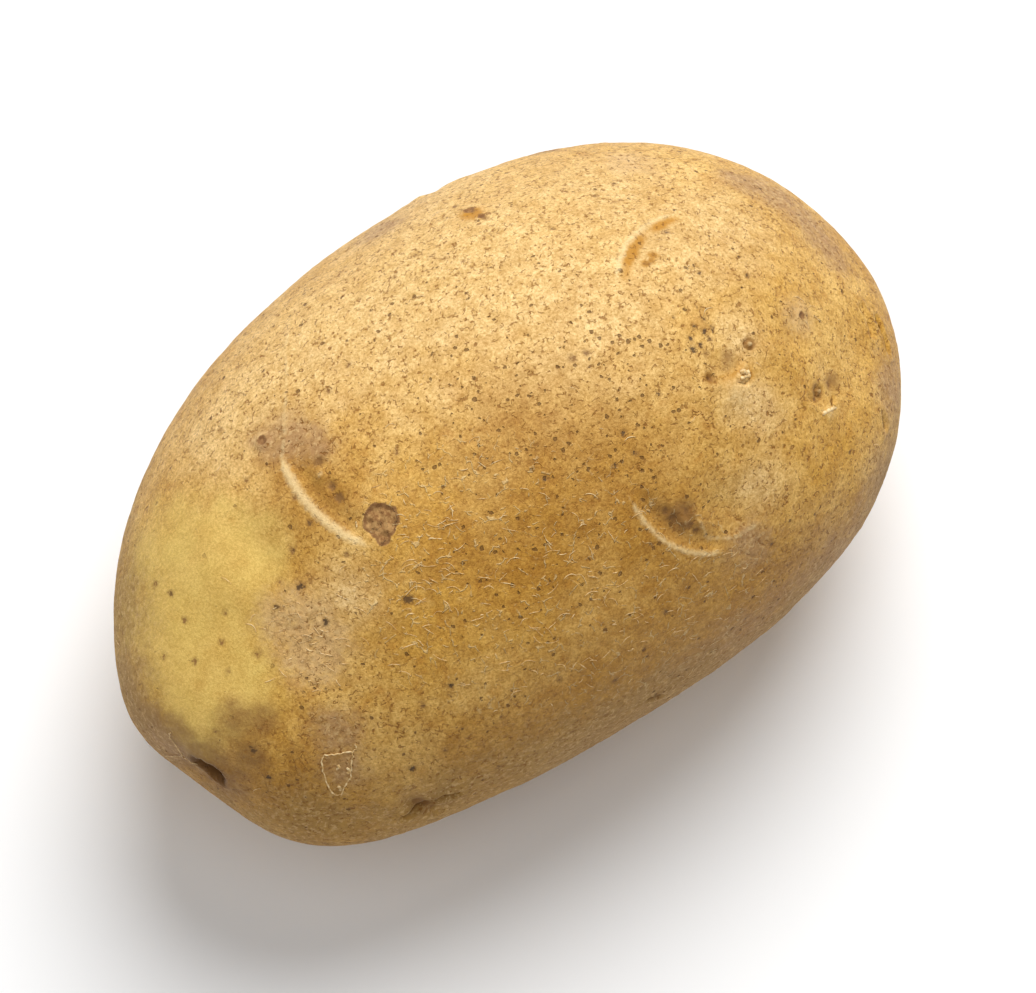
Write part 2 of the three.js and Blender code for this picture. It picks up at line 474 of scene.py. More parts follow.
# Cover of the skin's broader marks, each blob as (lon, lat, reach in millimetres).
covers = {
    # creamy: paler cream, partly a painted highlight over the top and on the bumps by the rose end's eyes
    "creamyAndHighlight": [
        (-163, 37, 4), (18, 64, 15), (62, 56, 15), (100, 52, 12), (4, 38, 7), (32, 32, 11),
        (72, 28, 12), (125, 42, 12), (145, 30, 8), (6, 28, 7), (-20, 38, 3), (-34, 39, 2.6),
        (-36, 33, 3.5), (-50, 28, 3),
    ],
    # deep: darker ochre, partly painted shade in the valley by the front top eye and along the front's
    # lower edge
    "deep": [
        (-100, 76, 6), (-78, 62, 8), (-95, 56, 8), (-70, 48, 7), (-114, 52, 7), (-72, 18, 8),
        (-78, 34, 5), (-140, 52, 4), (-125, 2, 7), (-168, 3, 6.5), (-145, -6, 8), (-100, 2, 8),
        (176, 46, 4), (162, 44, 4), (-98, 20, 8), (-80, 10, 8), (-115, 12, 8), (-90, 0, 9), (-60, 6, 8),
        (-128, 8, 7), (-155, 6, 6), (-168, -4, 8), (-70, -4, 8), (-155, 0, 7),
    ],
    "olive": [
        (171, 22, 8.5), (175, 16, 9), (-178, 14, 8.5), (-172, 17, 6), (166, 17, 8), (174, 30, 5),
        (-173, 9, 5),
    ],
    "mauve": [
        (9.5, 15, 3.2), (12, 17, 2.5), (152, 41, 3.2), (154, 46, 2.6), (158, 49, 2.2), (81, 23, 3.5),
        (6, 13, 3.5), (0, 11.5, 4), (-5, 11, 3.2), (-153, 16, 3.6), (-150, 10, 2.6), (-25, 5, 4),
        (-38, 0, 6), (-52, -3, 8), (-70, -6, 9), (-90, -8, 9), (-108, -9, 8), (-61, 22, 3.5),
        (176, 4, 4), (-176, 1, 5), (40, -6, 7), (110, -20, 7), (-120, -30, 7), (-30, -40, 6),
        (75, -45, 7), (150, -50, 6),
    ],
    "beige": [
        (-172, 27, 3.0), (-168, 29.5, 3.2), (-162, 28, 3.2), (-165, 25, 3.2), (-161, 24, 2.6),
        (-16, 25, 2.6), (28, 22, 3.5), (70, -20, 4), (-40, -28, 4),
    ],
    # brown: brown stains, and painted shade in the eyes' valleys and around the stolon's pit
    "brownAndShade": [
        (-67.5, 39.5, 1.8), (-64.5, 39.5, 1.4), (-26.5, 18.5, 1.5), (-29, 22, 0.9), (-25.5, 41.5, 1.3),
        (-30.7, 44.9, 0.8), (-168, 13.5, 2.3), (-164, 14.5, 2.4), (-163, 10, 2.4), (-168, 5, 4.2),
        (-172, 0, 4.0), (-175, 6, 3.2), (-179, 3, 3.5), (-166, -1, 3.5), (-136, 0, 3.2), (100, -30, 4),
        (-10, -30, 4), (45, 12, 2.5),
    ],
    "rustAndShade": [(59, 38, 1.6), (130, -5, 3), (-20, -15, 4)],
    "dust": [
        (-152, 1, 6), (-135, -1, 7), (-118, -2, 8), (-98, -3, 8), (166, 6, 7), (176, 2, 7),
        (-178, -9, 7), (-160, -10, 8), (-140, -12, 9), (-115, -14, 10), (-85, -12, 10), (-60, -12, 9),
        (-35, -6, 8), (150, -5, 9), (120, -15, 10), (80, -15, 10), (40, -15, 9), (10, -10, 7),
    ],
    "pits": [
        (117, 86, 8), (-90, 76, 9), (-62, 62, 9), (-95, 58, 9), (-122, 52, 7), (-70, 50, 7),
        (-30, 60, 8), (-110, 40, 7),
    ],
    "net": [
        (-150, 62, 6), (-132, 58, 8), (-103, 50, 9), (-88, 32, 9), (-75, 14, 8), (-125, 35, 8),
        (-101, 27, 9), (-145, 40, 6), (-150, 48, 5), (40, -25, 9), (-60, -30, 9), (140, -30, 9),
    ],
}


def cover(blobs, ragged=0.25):
    share = np.zeros(count)
    for lon, lat, reach in blobs:
        away = np.linalg.norm(points - spotOn(lon, lat)[0], axis=1) + ragged * reach * warpB
        share = 1 - (1 - share) * (1 - bell(away, reach))
    return share


for name, blobs in covers.items():
    stainAndShade(name, cover(blobs))
fields["dashes"] = np.clip(1 - fields["olive"] - 0.6 * fields["net"], 0, 1)
print("covers:", ", ".join(covers))

# Brown lenticels and black specks: (lon, lat, radius, darkness). The hidden ones are strewn over the
# lower half, no higher than the lat given.
specks = [
    (146, 30, 0.35, 0.4), (140, 52, 0.3, 0.4), (129, 55, 0.3, 0.5), (177, 64, 0.4, 0.4),
    (160, 35, 0.35, 0.4), (178, 42, 0.45, 0.6), (170, 42, 0.35, 0.5), (180, 36, 0.4, 0.4),
    (-169, 43, 0.4, 0.5), (-173, 33, 0.5, 0.9), (-177, 31, 0.35, 0.4), (-164, 31, 0.42, 0.9),
    (-174, 28, 0.35, 0.7), (171, 17, 0.45, 0.6), (168, 15, 0.4, 0.4), (176, 17, 0.4, 0.35),
    (180, 22, 0.35, 0.3), (-177, 19, 0.35, 0.3), (-173, 17, 0.4, 0.4), (-171, 21, 0.45, 0.35),
    (178, 12, 0.35, 0.3), (-178, 15, 0.4, 0.3), (-163, 11, 0.5, 0.7), (-169, 11, 0.3, 0.5),
    (-135, 26, 0.5, 0.9), (-140, 22, 0.4, 0.5), (-135, 24, 0.3, 0.5), (-140, 10, 0.45, 0.9),
    (-135, 13, 0.35, 0.5), (-149, 41, 0.55, 0.7), (-100, 14, 0.35, 0.5), (-19.3, 48.1, 0.4, 0.9),
    (-21.5, 46.5, 0.42, 0.95), (-22.5, 48.1, 0.45, 0.9), (-18.2, 45.2, 0.38, 0.95),
    (-16.4, 47, 0.32, 0.8), (-14.7, 44.6, 0.28, 0.7), (-17.2, 43.4, 0.34, 0.8), (-20.2, 44.4, 0.3, 0.6),
    (-24, 45.6, 0.4, 0.4), (-16, 69, 0.4, 0.5), (-25, 69, 0.35, 0.7), (-17, 72, 0.45, 0.3),
    (-16, 23.4, 0.3, 0.6), (63, 32, 0.4, 0.4), (59, 37, 0.3, 0.4), (56, 41, 0.4, 0.4),
    (79, 45, 0.25, 0.5), (75, 48, 0.25, 0.5), (71, 51, 0.25, 0.4), (65, 54, 0.25, 0.4),
    (89, 48, 0.35, 0.5), (-55, 60, 0.35, 0.8), (-97, 66, 0.33, 0.8), (-68, 58, 0.35, 0.8),
    (-60, 56, 0.3, 0.8), (-37, 55, 0.25, 0.9), (30, 35, 0.35, 0.5), (28, 30, 0.3, 0.6),
    (36, 47, 0.3, 0.7), (-7, 33, 0.3, 0.7), (-3, 41, 0.25, 0.8), (-47, 30, 0.3, 0.5),
    (-58, 18, 0.35, 0.6), (-112, 22, 0.35, 0.6), (-125, 18, 0.3, 0.5), (-84, 24, 0.3, 0.6),
    (-78, 40, 0.3, 0.5),
]
hiddenSpecks = {"number": 90, "radius": (0.22, 0.5), "dark": (0.3, 0.9), "highest": 8}


def addSpecks():
    for lon, lat, radius, dark in specks:
        addSpot(spotOn(lon, lat)[0], radius, dark)
    top = math.sin(math.radians(hiddenSpecks["highest"]))
    for _ in range(hiddenSpecks["number"]):
        lon = rng.uniform(-180, 180)
        lat = math.degrees(math.asin(rng.uniform(-0.9, top)))        # -0.9 keeps them off the resting patch
        radius = rng.uniform(*hiddenSpecks["radius"])
        dark = rng.uniform(*hiddenSpecks["dark"])
        addSpot(spotOn(lon, lat)[0], radius, dark)
    print("specks:", len(specks) + hiddenSpecks["number"])


addSpecks()

# Low bumps under two eyes of the rose end, painted pale on top as a painted highlight, and the hollows
# beside them: (lon, lat, reach, height).
bumps = [
    (-33.2, 40.1, 1.7, 0.35), (-32.2, 19.0, 1.3, 0.22),
    (-25, 19.5, 1.6, -0.30), (-25.5, 43.0, 1.6, -0.25),
]


def addBumps():
    for lon, lat, reach, height in bumps:
        away = np.linalg.norm(points - spotOn(lon, lat)[0], axis=1)
        rise[:] += height * bell(away, reach)
        if height > 0:
            # painted highlight: the bumps are painted pale and cleared of dashes
            mark("lipGap", 1.15 * away / reach + 1.15)
            fields["dashes"] *= 1 - 0.85 * bell(away, 1.3 * reach)
    print("bumps:", len(bumps))


addBumps()

# The rough round scar beside the heel top eye, and smaller scabs: radius, how far its edge stands up,
# how deep the bites in it go.
scabs = [
    {"lon": -167, "lat": 52.0, "radius": 2.0, "stand": 0.1, "bites": 0.34},
    {"lon": -163, "lat": 49.5, "radius": 0.9, "stand": 0.1, "bites": 0.25},
    {"lon": 152, "lat": 39.0, "radius": 0.6, "stand": 0.25, "bites": 0.1},
    {"lon": -16, "lat": 24.5, "radius": 0.5, "stand": 0.2, "bites": 0.25},
    {"lon": 60, "lat": 36.0, "radius": 0.65, "stand": 0.12, "bites": 0.15},
    {"lon": 57, "lat": 40.0, "radius": 0.5, "stand": 0.12, "bites": 0.15},
    {"lon": 105, "lat": -8.0, "radius": 1.8, "stand": 0.15, "bites": 0.3},
    {"lon": -95, "lat": -40.0, "radius": 1.6, "stand": 0.15, "bites": 0.3},
    {"lon": 30, "lat": -28.0, "radius": 1.2, "stand": 0.15, "bites": 0.25},
]


scabEdge = {"ragged": 0.14, "wander": 0.06, "wide": 0.35, "from": 0.25, "to": -0.35}


def addScab(lon, lat, radius, stand, bites):
    near = np.linalg.norm(points - spotOn(lon, lat)[0], axis=1)
    gap = near + scabEdge["ragged"] * radius * warpC + scabEdge["wander"] * radius * warpA - radius
    inside = ramp(gap, scabEdge["from"], scabEdge["to"])
    rise[:] += stand * bell(gap, scabEdge["wide"]) - inside * bites * (0.5 + 0.9 * warpC)
    mark("scabGap", gap)


for scab in scabs:
    addScab(**scab)
print("scabs:", len(scabs))

# Cracks and folds, painted dark brown and partly painted shade in the creases, and the faint pale lines
# where the skin was stretched.
cracks = [
    {
        "route": [(-15.4, 7.5), (-17.1, 6.6), (-18.7, 6.0), (-20.5, 5.5)],
        "width": 0.42, "depth": 0.6, "dark": 1,
    },
    {"route": [(-14.0, 10.5), (-16.0, 9.6), (-18.0, 9.2)], "width": 0.45, "depth": 0.5, "dark": 0.6},
    {"route": [(-29.7, 7.0), (-31.1, 5.5)], "width": 0.45, "depth": 0.5, "dark": 0.8},
    {"route": [(-93.4, -2.1), (-89.9, -5.0)], "width": 0.45, "depth": 0.5, "dark": 1},
    {
        "route": [(-140.5, -1.9), (-138.0, -1.1), (-135.2, 0.0), (-132.5, -0.2)],
        "width": 0.5, "depth": 0.7, "dark": 0.9,
    },
    {"route": [(-31.2, 18.6), (-29.6, 18.2)], "width": 0.25, "depth": 0.25, "dark": 0.9},
    {"route": [(-24, 39.5), (-22.6, 39.4)], "width": 0.22, "depth": 0.2, "dark": 0.5},
    {"route": [(-29.2, 45.6), (-30.7, 44.9), (-31.8, 44.0)], "width": 0.3, "depth": 0.35, "dark": 0.7},
    {"route": [(-30.7, 39.4), (-31.0, 37.9), (-29.4, 36.8)], "width": 0.25, "depth": 0.3, "dark": 0.7},
    {"route": [(-30.6, 23.7), (-31.3, 22.3)], "width": 0.3, "depth": 0.25, "dark": 0.6},
    {"route": [(48, -20), (52, -24), (57, -25), (60, -29)], "width": 0.3, "depth": 0.35, "dark": 0.8},
    {"route": [(-12, -30), (-8, -33), (-3, -33)], "width": 0.3, "depth": 0.3, "dark": 0.8},
]
paleLines = [
    {
        "route": [
            (115.6, 33.4), (125.4, 38.5), (133.4, 41.7), (141.5, 43.1), (150.7, 43.4), (157.7, 42.6),
        ],
        "width": 0.45, "pale": 0.25,
    },
    {"route": [(-64, 37), (-66, 31), (-62, 26), (-57, 24)], "width": 0.5, "pale": 0.2},
]


def gapToRoute(route):
    # the distance from every point to a line through the places of a route
    knots = [spotOn(lon, lat)[0] for lon, lat in route]
    gap = np.full(count, 1e6)
    for start, end in zip(knots, knots[1:]):
        run = end - start
        share = np.clip((points - start) @ run / (run @ run), 0, 1)
        gap = np.minimum(gap, np.linalg.norm(points - start - share[:, None] * run, axis=1))
    return gap


crackEdge = {"ragged": 0.4, "wander": 0.40, "banks": 0.25}
paleEdge = {"wander": 0.2, "height": 0.08}


def addLines():
    for crack in cracks:
        wide, deep = crack["width"], crack["depth"]
        gap = gapToRoute(crack["route"]) * (1 + crackEdge["ragged"] * warpC)
        gap = gap + crackEdge["wander"] * np.abs(warpA)
        rise[:] += crackEdge["banks"] * deep * bell(gap - 2 * wide, wide)
        rise[:] -= deep * bell(gap, wide)
        # the crack is painted dark, partly painted shade in the crease
        mark("crackGap", gap / wide + 1 - crack["dark"])
    for line in paleLines:
        gap = np.abs(gapToRoute(line["route"]) + paleEdge["wander"] * warpA)
        rise[:] += paleEdge["height"] * bell(gap, line["width"])
        mark("lipGap", gap / line["width"] + 1.6 * (1 - line["pale"]))
    print("cracks:", len(cracks), "and pale lines:", len(paleLines))


addLines()

# The pit where the stolon broke off, with the stub of its cord inside.
stolon = {
    "lon": -167.6, "lat": 3.4, "turn": 0,
    "wide": 1.95, "deep": 2.1,
    "rim": 0.30, "rimWide": 0.7,
    "stub": 0.8, "stubWide": 0.55, "stubAside": 0.4,
    "rough": 0.16, "lumps": 1.3,
    "stainReach": 2.8,
}


def addStolonPit():
    centre, up, ahead, aside = localFrame(stolon["lon"], stolon["lat"], stolon["turn"])
    offset = points - centre
    near = np.linalg.norm(offset, axis=1) * (1 + 0.18 * warpA) + 0.30 * warpC
    here = normals @ up > 0
    wide = stolon["wide"]
    pit = ramp(near, wide * 1.15, wide * 0.55) * here
    rise[:] += stolon["rim"] * bell(near - wide * 1.35, stolon["rimWide"]) * here - stolon["deep"] * pit
    stub = np.linalg.norm(offset - ahead * 0.9 * wide * 0.5 + aside * stolon["stubAside"], axis=1)
    rise[:] += stolon["stub"] * bell(stub, stolon["stubWide"]) * here
    # the pit is painted dark brown inside, partly painted shade
    mark("crackGap", np.where(here, near / wide - 0.5, far))
    rise[:] += stolon["rough"] * waves(stolon["lumps"], 35) * bell(near, wide * 2.2) * here
    # a brown stain around the pit, partly painted shade
    stainAndShade("brownAndShade", 1.5 * bell(near, wide * stolon["stainReach"]) * here)
    mark("lipGap", np.where(here, stub / 0.45 + 0.5, far))
    print("stolon pit: about", round(2 * wide, 1), "mm across")


addStolonPit()

# Unevenness of the skin itself, each kind as (lump size, height). The olive skin is calmer, and the
# flaky and bruised skin, and the skin under the brown stains and painted shade, is rougher.
grain = {"swell": (13, 0.16), "lumps": (5, 0.08), "wrinkles": (1.7, 0.045), "pores": (0.75, 0.018)}


def addGrain():
    calm = 1 - 0.6 * fields["olive"]
    rise[:] += grain["swell"][1] * waves(grain["swell"][0], 31)
    rise[:] += grain["lumps"][1] * waves(grain["lumps"][0], 32)
    rise[:] += calm * grain["wrinkles"][1] * waves(grain["wrinkles"][0], 33)
    rough = 1 + 6 * np.clip(fields["beige"] + 0.5 * fields["mauve"] + 0.5 * fields["brownAndShade"], 0, 1)
    rise[:] += calm * rough * grain["pores"][1] * waves(grain["pores"][0], 34)


addGrain()


def shapeSkin():
    # moves the points out, keeps them off the floor, and leaves the resting patch flat
    lifted = ramp(points[:, 2], 0.0, 1.2)
    moved = points + normals * (rise * lifted)[:, None]
    moved[:, 2] = np.maximum(moved[:, 2], low.z / mm)
    skin.vertices.foreach_set("co", (moved * mm).astype(np.float32).ravel())
    skin.update()
    for name, values in fields.items():
        layer = skin.attributes.new(name, "FLOAT", "POINT")
        layer.data.foreach_set("value", values.astype(np.float32))
    print("skin shaped: from", round(float(rise.min()), 2), "to", round(float(rise.max()), 2), "mm")


shapeSkin()


class Nodes:
    # builds a material's nodes with short calls; lengths inside are millimetres

    def __init__(self, name):
        self.material = bpy.data.materials.new(name)
        self.material.use_nodes = True
        self.tree = self.material.node_tree
        self.shader = self.tree.nodes["Principled BSDF"]
        coords = self.tree.nodes.new("ShaderNodeTexCoord")
        self.place = self.vector("SCALE", coords.outputs["Object"], scale=1 / mm)

    def feed(self, socket, value):
        if isinstance(value, bpy.types.NodeSocket):
            self.tree.links.new(value, socket)
        else:
            socket.default_value = value

    def vector(self, operation, a, b=None, scale=None):
        made = self.tree.nodes.new("ShaderNodeVectorMath")
        made.operation = operation
        self.feed(made.inputs[0], a)
        if b is not None:
            self.feed(made.inputs[1], b)
        if scale is not None:
            self.feed(made.inputs["Scale"], scale)
        return made.outputs["Vector"]

    def math(self, operation, a, b=0.0):
        made = self.tree.nodes.new("ShaderNodeMath")
        made.operation = operation
        self.feed(made.inputs[0], a)
        self.feed(made.inputs[1], b)
        return made.outputs["Value"]

    def times(self, *values):
        total = values[0]
        for value in values[1:]:
            total = self.math("MULTIPLY", total, value)
        return total

    def plus(self, *values):
        total = values[0]
        for value in values[1:]:
            total = self.math("ADD", total, value)
        return total

    def step(self, value, start, end):
        # 0 at start and 1 at end, whichever is greater, eased at both
        made = self.tree.nodes.new("ShaderNodeMapRange")
        made.interpolation_type = "SMOOTHSTEP"
        swap = start > end
        self.feed(made.inputs["Value"], value)
        made.inputs["From Min"].default_value = min(start, end)
        made.inputs["From Max"].default_value = max(start, end)
        made.inputs["To Min"].default_value = 1 if swap else 0
        made.inputs["To Max"].default_value = 0 if swap else 1
        return made.outputs["Result"]

    def field(self, name):
        made = self.tree.nodes.new("ShaderNodeAttribute")
        made.attribute_name = name
        return made.outputs["Fac"]

    def noise(self, size, detail=3, roughness=0.55, at=None):
        made = self.tree.nodes.new("ShaderNodeTexNoise")
        self.feed(made.inputs["Vector"], at or self.place)
        made.inputs["Scale"].default_value = 1 / size
        made.inputs["Detail"].default_value = detail
        made.inputs["Roughness"].default_value = roughness
        return made

    def grain(self, size, detail=3, roughness=0.55, at=None):
        return self.noise(size, detail, roughness, at).outputs["Fac"]

    def bent(self, size, amount):
        # the place, pushed about by noise of the given size
        push = self.vector("SUBTRACT", self.noise(size, 2).outputs["Color"], (0.5, 0.5, 0.5))
        return self.vector("ADD", self.place, self.vector("SCALE", push, scale=amount))

    def cells(self, size, feature, at):
        made = self.tree.nodes.new("ShaderNodeTexVoronoi")
        made.feature = feature
        self.feed(made.inputs["Vector"], at)
        made.inputs["Scale"].default_value = 1 / size
        return made

    def blend(self, share, base, top, kind="MIX"):
        made = self.tree.nodes.new("ShaderNodeMix")
        made.data_type = "RGBA"
        made.blend_type = kind
        self.feed(made.inputs["Factor"], share)
        colours = [socket for socket in made.inputs if socket.type == "RGBA"]
        for socket, colour in zip(colours, (base, top)):
            self.feed(socket, colour if isinstance(colour, bpy.types.NodeSocket) else (*colour, 1))
        return next(socket for socket in made.outputs if socket.type == "RGBA")


# Colours of the skin's finishes and its gloss, some of them standing partly for painted shade and a painted
# highlight. The cork and cloud colours multiply the tone below them.
skinLook = {
    "cream": (0.74, 0.455, 0.13),
    "ochre": (0.61, 0.33, 0.054),
    "highCreamAndHighlight": (0.80, 0.555, 0.255),
    "deepOchreAndShade": (0.41, 0.185, 0.016),
    "amber": (0.53, 0.24, 0.028),
    "olive": (0.75, 0.525, 0.135),
    "rustAndShade": (0.50, 0.22, 0.015),
    "umberAndShade": (0.25, 0.118, 0.03),
    "dash": (0.23, 0.085, 0.005),
    "scar": (0.19, 0.08, 0.025),
    "healed": (0.47, 0.265, 0.10),
    "pitBrownAndShade": (0.13, 0.05, 0.004),
    "black": (0.055, 0.03, 0.014),
    "mauve": (0.40, 0.225, 0.10),
    "dust": (0.37, 0.22, 0.065),
    "beige": (0.69, 0.45, 0.205),
    "pale": (0.85, 0.65, 0.33),
    "corkDark": (0.71, 0.63, 0.45),
    "corkLight": (1.16, 1.19, 1.28),
    "cloudDark": (0.86, 0.81, 0.70),
    "cloudLight": (1.08, 1.11, 1.16),
    "roughness": 0.6,
    "sheen": 0.03,
    "specular": 0.26,
    "sheenRoughness": 0.5,
}

# How much of each finish shows at most.
most = {
    "amber": 0.55, "cream": 0.50, "highCreamAndHighlight": 0.75, "deepOchreAndShade": 0.70, "olive": 0.9,
    "hollow": 0.35, "mottles": 0.50, "flecks": 0.40, "dash": 0.78, "pit": 0.76, "netting": 0.45,
    "scab": 0.9, "scabRim": 0.65, "lip": 0.45, "halo": 0.38, "speck": 0.85, "crack": 0.95,
}

# The larger stains, with the rust and brown partly painted shade: (field and finish, most that shows, where
# it starts and where it is full).
stainsAndShade = [
    ("rustAndShade", "rustAndShade", 0.90, 0.08, 0.9),
    ("brownAndShade", "umberAndShade", 0.75, 0.08, 1.1),
    ("mauve", "mauve", 0.75, 0.05, 1.1),
    ("beige", "beige", 0.66, 0.03, 1.15),
    ("dust", "dust", 0.68, 0.05, 1.05),
]
relief = {"cork": 0.085, "dash": -0.05, "pit": -0.15, "netting": 0.09}        # millimetres


def makeSkinMaterial():
    n = Nodes("potato skin")
    look = skinLook
    shares = {name: n.field(name) for name in fields}

    # broad and fine changes of tone, with a painted highlight over the top and painted shade on the front
    tone = n.blend(n.step(n.grain(11, 3, 0.6), 0.36, 0.66), look["ochre"], look["cream"])
    amber = n.times(most["amber"], n.step(n.grain(2.6, 4, 0.65), 0.50, 0.72))
    tone = n.blend(amber, tone, look["amber"])
    cream = n.times(most["cream"], n.step(n.grain(1.5, 3, 0.6), 0.52, 0.75))
    tone = n.blend(cream, tone, look["cream"])
    # painted highlight: paler cream over the top and on the bumps, partly the skin's own cream
    creamyAndHighlight = n.times(most["highCreamAndHighlight"], shares["creamyAndHighlight"], n.plus(0.6, n.times(0.7, n.grain(3.5, 3))))
    tone = n.blend(creamyAndHighlight, tone, look["highCreamAndHighlight"])
    # painted shade: darker ochre in the front's valley and along its lower edge, partly the skin's own tone
    deep = n.times(most["deepOchreAndShade"], shares["deep"], n.plus(0.5, n.times(0.9, n.grain(2.2, 3))))
    tone = n.blend(deep, tone, look["deepOchreAndShade"])
    green = n.step(n.times(shares["olive"], n.plus(0.45, n.times(1.1, n.grain(4, 3)))), 0.15, 1.20)
    bare = n.math("SUBTRACT", 1, n.times(0.85, green))
    olive = n.blend(n.step(n.grain(6, 2), 0.3, 0.7), look["olive"], look["cream"])
    tone = n.blend(n.times(most["olive"], green), tone, n.blend(0.75, olive, look["olive"]))

    # the fine fibres of the cork, lighter and darker
    cork = n.grain(0.33, 3, 0.8)
    weave = n.blend(n.step(cork, 0.30, 0.70), look["corkDark"], look["corkLight"])
    tone = n.blend(n.plus(0.4, n.times(0.6, bare)), tone, weave, "MULTIPLY")
    clouds = n.blend(n.step(n.grain(1.9, 3, 0.7), 0.33, 0.67), look["cloudDark"], look["cloudLight"])
    tone = n.blend(n.plus(0.3, n.times(0.7, bare)), tone, clouds, "MULTIPLY")

    # larger stains, the rust and brown partly painted shade, and painted shade in the eyes' troughs
    patchy = n.grain(1.3, 4, 0.65)
    for name, finish, strongest, start, end in stainsAndShade:
        share = n.step(n.times(shares[name], n.plus(0.25, n.times(1.5, patchy))), start, end)
        tone = n.blend(n.times(strongest, share), tone, look[finish])
    # painted shade: umber in the mouths of the eyes' troughs
    tone = n.blend(n.times(most["hollow"], shares["hollow"]), tone, look["umberAndShade"])

    # mottles and pale flecks of the soiled and flaky skin
    soiled = n.math("MAXIMUM", n.math("MAXIMUM", shares["dust"], shares["mauve"]), shares["beige"])
    mottles = n.times(soiled, n.step(n.grain(0.8, 4, 0.75), 0.50, 0.62))
    tone = n.blend(n.times(most["mottles"], mottles), tone, look["umberAndShade"])
    flecks = n.times(soiled, n.step(n.grain(0.6, 3, 0.7), 0.50, 0.36))
    tone = n.blend(n.times(most["flecks"], flecks), tone, look["highCreamAndHighlight"])

    # short brown dashes, where a thin ridge of one noise crosses a patch of another
    bent = n.bent(0.5, 0.55)
    ridge = n.math("ABSOLUTE", n.math("SUBTRACT", n.grain(0.75, 1, 0.5, bent), 0.5))
    broken = n.step(n.grain(0.62, 1, 0.5), 0.50, 0.62)
    uneven = n.plus(0.2, n.times(1.5, patchy))
    dash = n.times(n.step(ridge, 0.075, 0.01), broken, shares["dashes"], uneven)
    tone = n.blend(n.times(most["dash"], dash), tone, look["dash"])

    # dark pits, each with its own size, so that many are hardly there
    pitCells = n.cells(1.1, "F1", bent)
    draw = n.tree.nodes.new("ShaderNodeSeparateColor")
    n.feed(draw.inputs[0], pitCells.outputs["Color"])
    wanted = n.math("SUBTRACT", n.plus(0.22, n.times(0.75, shares["pits"])), draw.outputs[0])
    pitSize = n.plus(0.08, n.times(0.16, draw.outputs[1]))
    inPit = n.math("SUBTRACT", pitSize, pitCells.outputs["Distance"])
    pit = n.times(n.step(inPit, -0.03, 0.05), n.step(wanted, 0.0, 0.06), bare)
    tone = n.blend(n.times(most["pit"], pit), tone, look["pitBrownAndShade"])

    # pale netting of lifted skin edges, in broken arcs
    netCells = n.cells(1.8, "DISTANCE_TO_EDGE", n.bent(1.3, 0.9))
    edges = n.step(netCells.outputs["Distance"], 0.045, 0.012)
    arcs = n.times(edges, n.step(n.grain(1.0, 2), 0.50, 0.62), n.step(shares["net"], 0.05, 0.6))
    tone = n.blend(n.times(most["netting"], arcs), tone, look["pale"])

    # scabs: mottled brown, pinkish tan where the bites have healed
    ragged = n.plus(shares["scabGap"], n.times(0.55, n.math("SUBTRACT", n.grain(0.5, 3), 0.5)))
    scab = n.step(ragged, 0.10, -0.15)
    mottle = n.blend(n.step(n.grain(0.8, 4, 0.7), 0.36, 0.62), look["scar"], look["healed"])
    tone = n.blend(n.times(most["scab"], scab), tone, mottle)
    rim = n.step(n.math("ABSOLUTE", n.plus(ragged, 0.22)), 0.34, 0.05)
    tone = n.blend(n.times(most["scabRim"], rim), tone, look["scar"])

    # pale lips of the brows
    fuzz = n.times(2.2, n.math("SUBTRACT", n.grain(0.55, 3, 0.6), 0.5))
    lip = n.step(n.plus(shares["lipGap"], fuzz), 2.1, 0.2)
    tone = n.blend(n.times(most["lip"], lip, n.plus(0.75, n.times(1.4, cork))), tone, look["pale"])

    # brown and black specks with a paler brown halo
    speckGap = n.plus(shares["spotGap"], n.times(1.0, n.math("SUBTRACT", n.grain(0.32, 3, 0.7), 0.5)))
    halo = n.step(speckGap, 0.40, 0.0)
    tone = n.blend(n.times(most["halo"], halo), tone, look["umberAndShade"])
    speckTone = n.blend(n.step(shares["spotDark"], 0.35, 0.85), look["umberAndShade"], look["black"])
    speck = n.step(speckGap, 0.06, -0.14)
    tone = n.blend(n.times(most["speck"], speck), tone, speckTone)

    # cracks and the stolon's pit, dark brown, partly painted shade in the recesses
    crackGap = n.plus(shares["crackGap"], n.times(0.5, n.math("SUBTRACT", n.grain(0.6, 3), 0.5)))
    crack = n.step(crackGap, 1.15, 0.35)
    tone = n.blend(n.times(most["crack"], crack), tone, look["pitBrownAndShade"])
    n.feed(n.shader.inputs["Base Color"], tone)

    # roughness follows the finish: smooth on the olive skin, chalky on the dusty and scabby skin
    rough = n.plus(look["roughness"] - 0.1, n.times(0.2, n.grain(0.8, 3)))
    rough = n.plus(rough, n.times(0.25, shares["dust"]), n.times(0.2, scab))
    rough = n.plus(rough, n.times(-0.08, shares["olive"]))
    n.feed(n.shader.inputs["Roughness"], n.math("MINIMUM", rough, 0.95))
    n.shader.inputs["Specular IOR Level"].default_value = look["specular"]
    n.shader.inputs["Sheen Weight"].default_value = look["sheen"]
    n.shader.inputs["Sheen Roughness"].default_value = look["sheenRoughness"]

    # bump, in millimetres: the cork's grain, dashes and pits sunk, netting raised
    height = n.plus(n.times(relief["cork"], cork), n.times(relief["dash"], dash))
    height = n.plus(height, n.times(relief["pit"], pit), n.times(relief["netting"], arcs))
    bump = n.tree.nodes.new("ShaderNodeBump")
    bump.inputs["Strength"].default_value = 1
    bump.inputs["Distance"].default_value = mm
    n.feed(bump.inputs["Height"], height)
    n.feed(n.shader.inputs["Normal"], bump.outputs["Normal"])
    return n.material


skin.materials.append(makeSkinMaterial())
print("skin material ready")


finishedSkin = treeOf(potato)


def snap(point, lift):
    # the nearest place on the finished skin, raised by lift, in millimetres
    hit, normal = finishedSkin.find_nearest(Vector(point * mm))[:2]
    return np.array(hit) / mm + lift * np.array(normal), np.array(normal)


